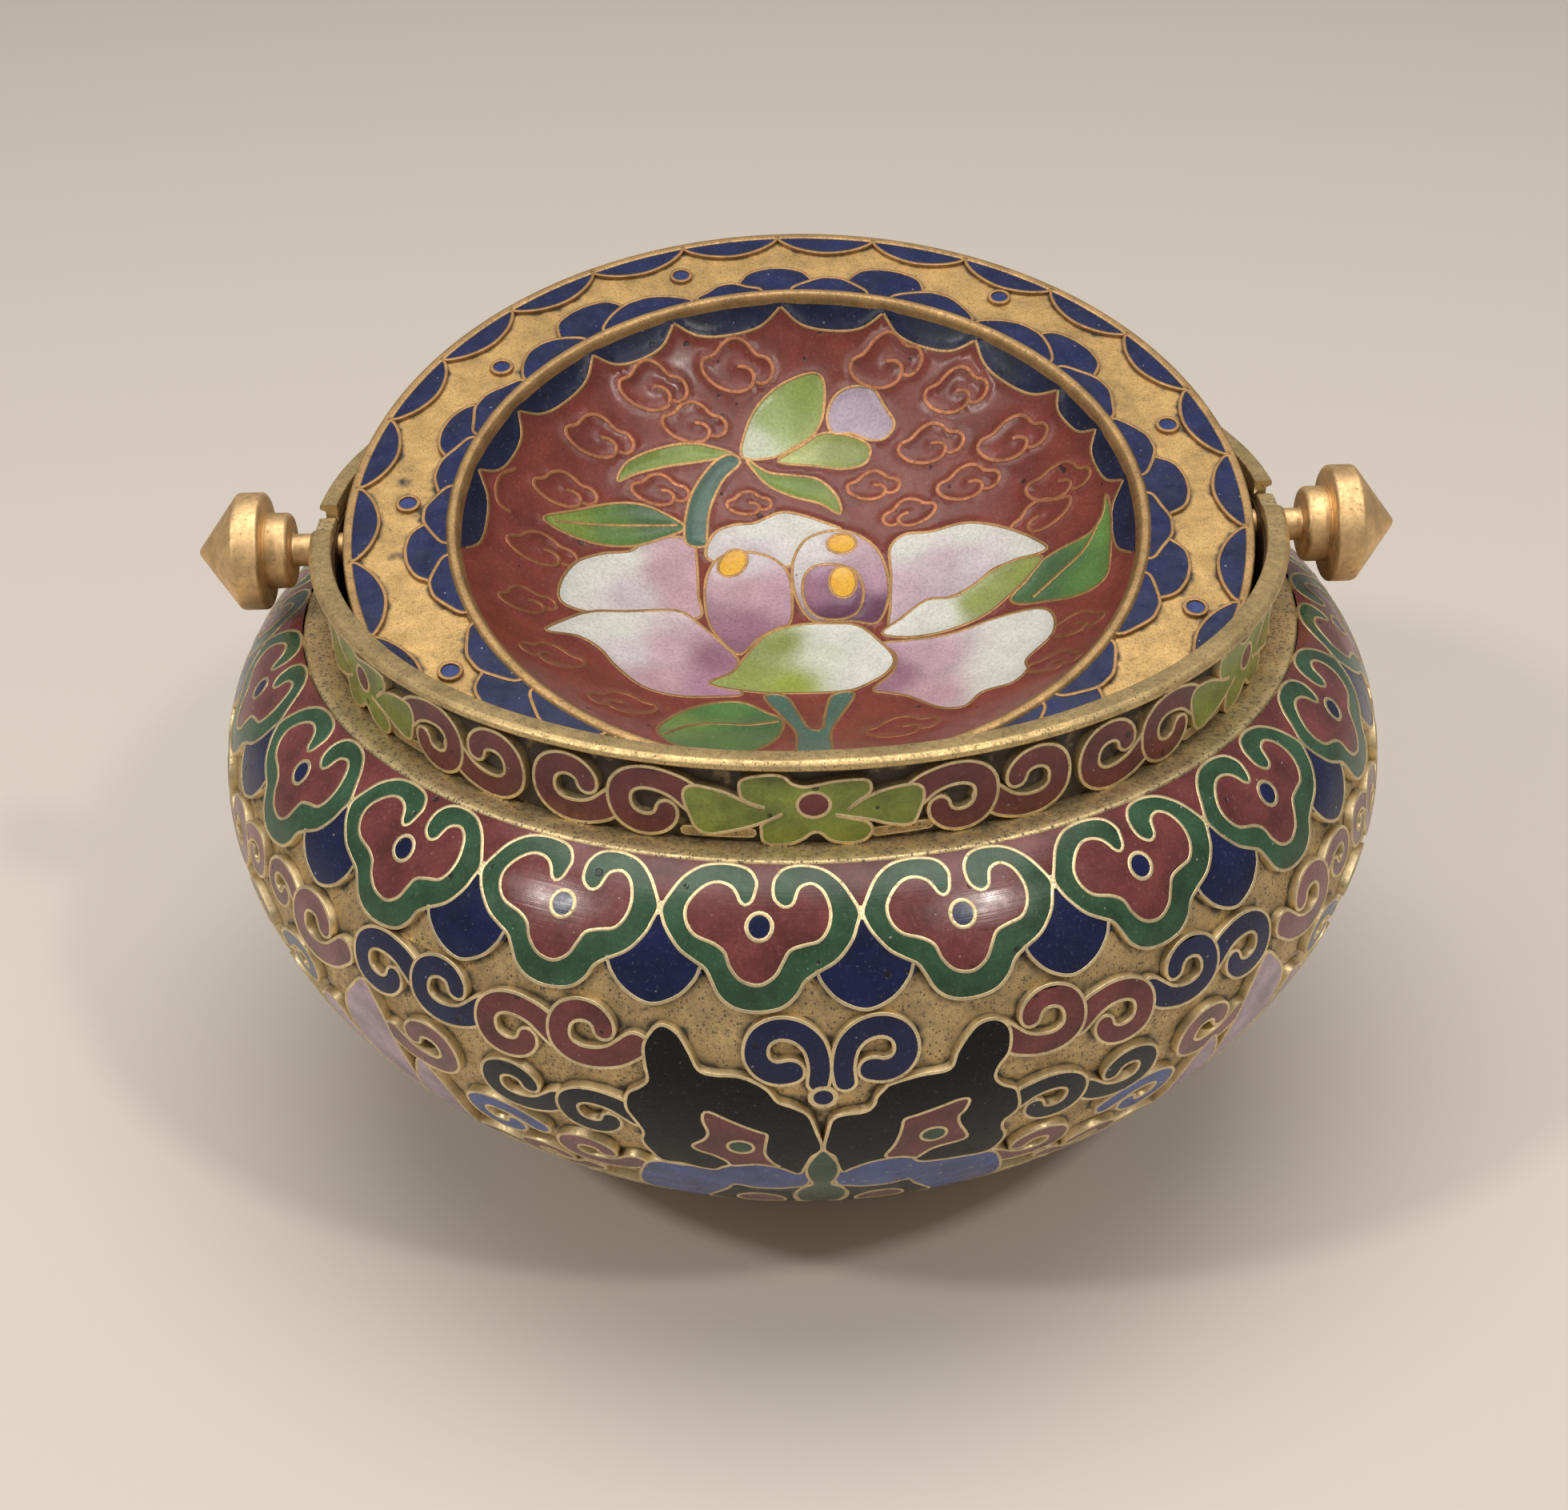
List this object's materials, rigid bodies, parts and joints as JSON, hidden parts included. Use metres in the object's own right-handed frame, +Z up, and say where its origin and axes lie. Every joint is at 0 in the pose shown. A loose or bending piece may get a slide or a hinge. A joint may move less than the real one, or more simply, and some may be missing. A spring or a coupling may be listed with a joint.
{
  "type": "cloisonne enamel bowl with a tilting dish",
  "caption": "Round-bellied cloisonne enamel bowl with a low foot and a shallow enamelled dish that turns over in its neck on two pins with pointed brass knobs.",
  "frame": {"origin": "centre of the foot, on the surface that the bowl stands on", "axes": "+Z up; +X along the dish's pins, towards the right knob of the pictured side; -Y is the pictured front, where the dish's edge is tilted down"},
  "size_m": [0.1106, 0.109, 0.0716],
  "materials": {
    "bowl_enamel": "polished enamel cells between gilt wires on copper, worn and speckled",
    "rim_brass": "dull gilt brass, pitted, with a worn bright edge",
    "rear_rim_brass": "dull gilt brass with tarnish",
    "dish_enamel": "glossy enamel between gilt wires on copper",
    "left_knob_brass": "satin turned brass",
    "right_knob_brass": "satin turned brass"
  },
  "bodies": {
    "bowl": {"bowl_body": "bowl_enamel", "rim_front": "rim_brass", "rim_rear": "rear_rim_brass"},
    "dish": {"tilting_dish": "dish_enamel", "pin_knob_left": "left_knob_brass", "pin_knob_right": "right_knob_brass"}
  },
  "joints": [
    {"name": "dish_turn", "type": "hinge", "parent": "bowl", "child": "dish", "pos_m": [0, 0, 0.056], "axis": [1, 0, 0], "continuous": true}
  ]
}
